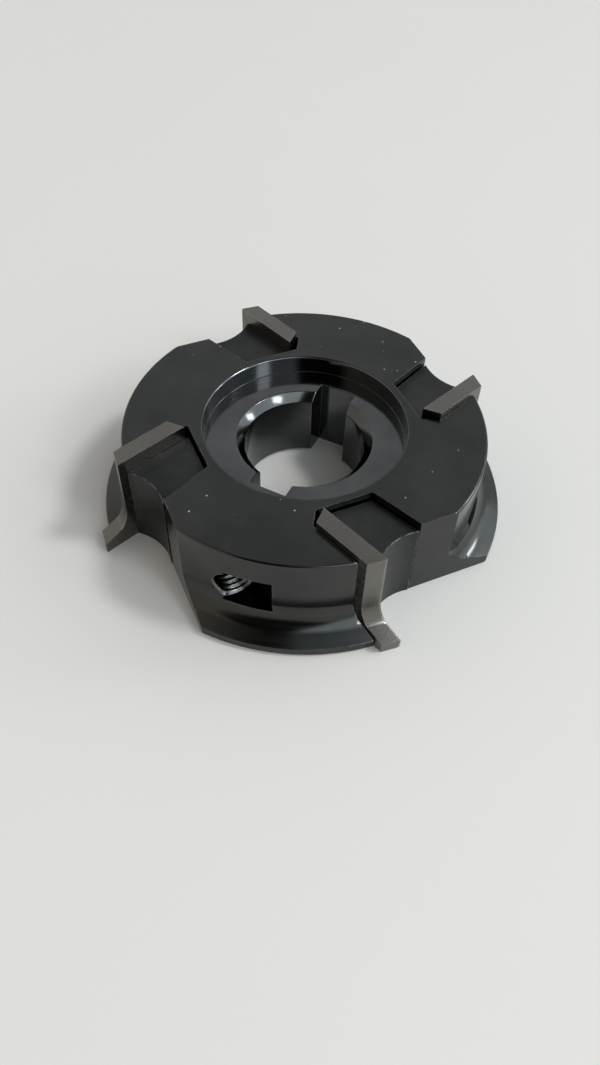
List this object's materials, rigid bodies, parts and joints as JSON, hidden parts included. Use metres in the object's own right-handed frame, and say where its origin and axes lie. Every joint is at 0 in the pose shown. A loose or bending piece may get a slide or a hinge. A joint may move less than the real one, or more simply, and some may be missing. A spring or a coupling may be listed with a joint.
{
  "type": "profile milling head",
  "caption": "Shell-type profile milling head with wedge-clamped radius knives, a keyed bore and a counterbored face.",
  "frame": {"origin": "on the bore axis, at the bottom face that bears on the arbor's flange", "axes": "+Z along the bore axis towards the counterbored top; the knives lie along the diagonals of X and Y"},
  "size_m": [0.0684, 0.0684, 0.0173],
  "materials": {
    "black_steel": "black oxide, satin to glossy",
    "black_steel_wedge": "black oxide, satin",
    "ground_carbide": "ground",
    "screw_steel": "blackened",
    "pin_steel": "ground"
  },
  "bodies": {
    "cutter": {"cutter_body": "black_steel", "lower_pin_1": "pin_steel", "lower_pin_2": "pin_steel", "lower_pin_3": "pin_steel", "lower_pin_4": "pin_steel", "upper_pin_1": "pin_steel", "upper_pin_2": "pin_steel", "upper_pin_3": "pin_steel", "upper_pin_4": "pin_steel"},
    "knife_1": {"knife_1": "ground_carbide"},
    "wedge_1": {"wedge_1": "black_steel_wedge"},
    "clamp_screw_1": {"clamp_screw_1": "screw_steel"},
    "knife_2": {"knife_2": "ground_carbide"},
    "wedge_2": {"wedge_2": "black_steel_wedge"},
    "clamp_screw_2": {"clamp_screw_2": "screw_steel"},
    "knife_3": {"knife_3": "ground_carbide"},
    "wedge_3": {"wedge_3": "black_steel_wedge"},
    "clamp_screw_3": {"clamp_screw_3": "screw_steel"},
    "knife_4": {"knife_4": "ground_carbide"},
    "wedge_4": {"wedge_4": "black_steel_wedge"},
    "clamp_screw_4": {"clamp_screw_4": "screw_steel"}
  },
  "joints": [
    {"name": "knife_1_lift", "type": "slide", "parent": "cutter", "child": "knife_1", "axis": [0, 0, 1], "range_m": [0, 0.02]},
    {"name": "wedge_1_lift", "type": "slide", "parent": "cutter", "child": "wedge_1", "axis": [0, 0, 1], "range_m": [0, 0.02]},
    {"name": "clamp_screw_1_out", "type": "slide", "parent": "cutter", "child": "clamp_screw_1", "axis": [-0.5, 0.866, 0], "range_m": [0, 0.018]},
    {"name": "knife_2_lift", "type": "slide", "parent": "cutter", "child": "knife_2", "axis": [0, 0, 1], "range_m": [0, 0.02]},
    {"name": "wedge_2_lift", "type": "slide", "parent": "cutter", "child": "wedge_2", "axis": [0, 0, 1], "range_m": [0, 0.02]},
    {"name": "clamp_screw_2_out", "type": "slide", "parent": "cutter", "child": "clamp_screw_2", "axis": [-0.866, -0.5, 0], "range_m": [0, 0.018]},
    {"name": "knife_3_lift", "type": "slide", "parent": "cutter", "child": "knife_3", "axis": [0, 0, 1], "range_m": [0, 0.02]},
    {"name": "wedge_3_lift", "type": "slide", "parent": "cutter", "child": "wedge_3", "axis": [0, 0, 1], "range_m": [0, 0.02]},
    {"name": "clamp_screw_3_out", "type": "slide", "parent": "cutter", "child": "clamp_screw_3", "axis": [0.5, -0.866, 0], "range_m": [0, 0.018]},
    {"name": "knife_4_lift", "type": "slide", "parent": "cutter", "child": "knife_4", "axis": [0, 0, 1], "range_m": [0, 0.02]},
    {"name": "wedge_4_lift", "type": "slide", "parent": "cutter", "child": "wedge_4", "axis": [0, 0, 1], "range_m": [0, 0.02]},
    {"name": "clamp_screw_4_out", "type": "slide", "parent": "cutter", "child": "clamp_screw_4", "axis": [0.866, 0.5, 0], "range_m": [0, 0.018]}
  ]
}
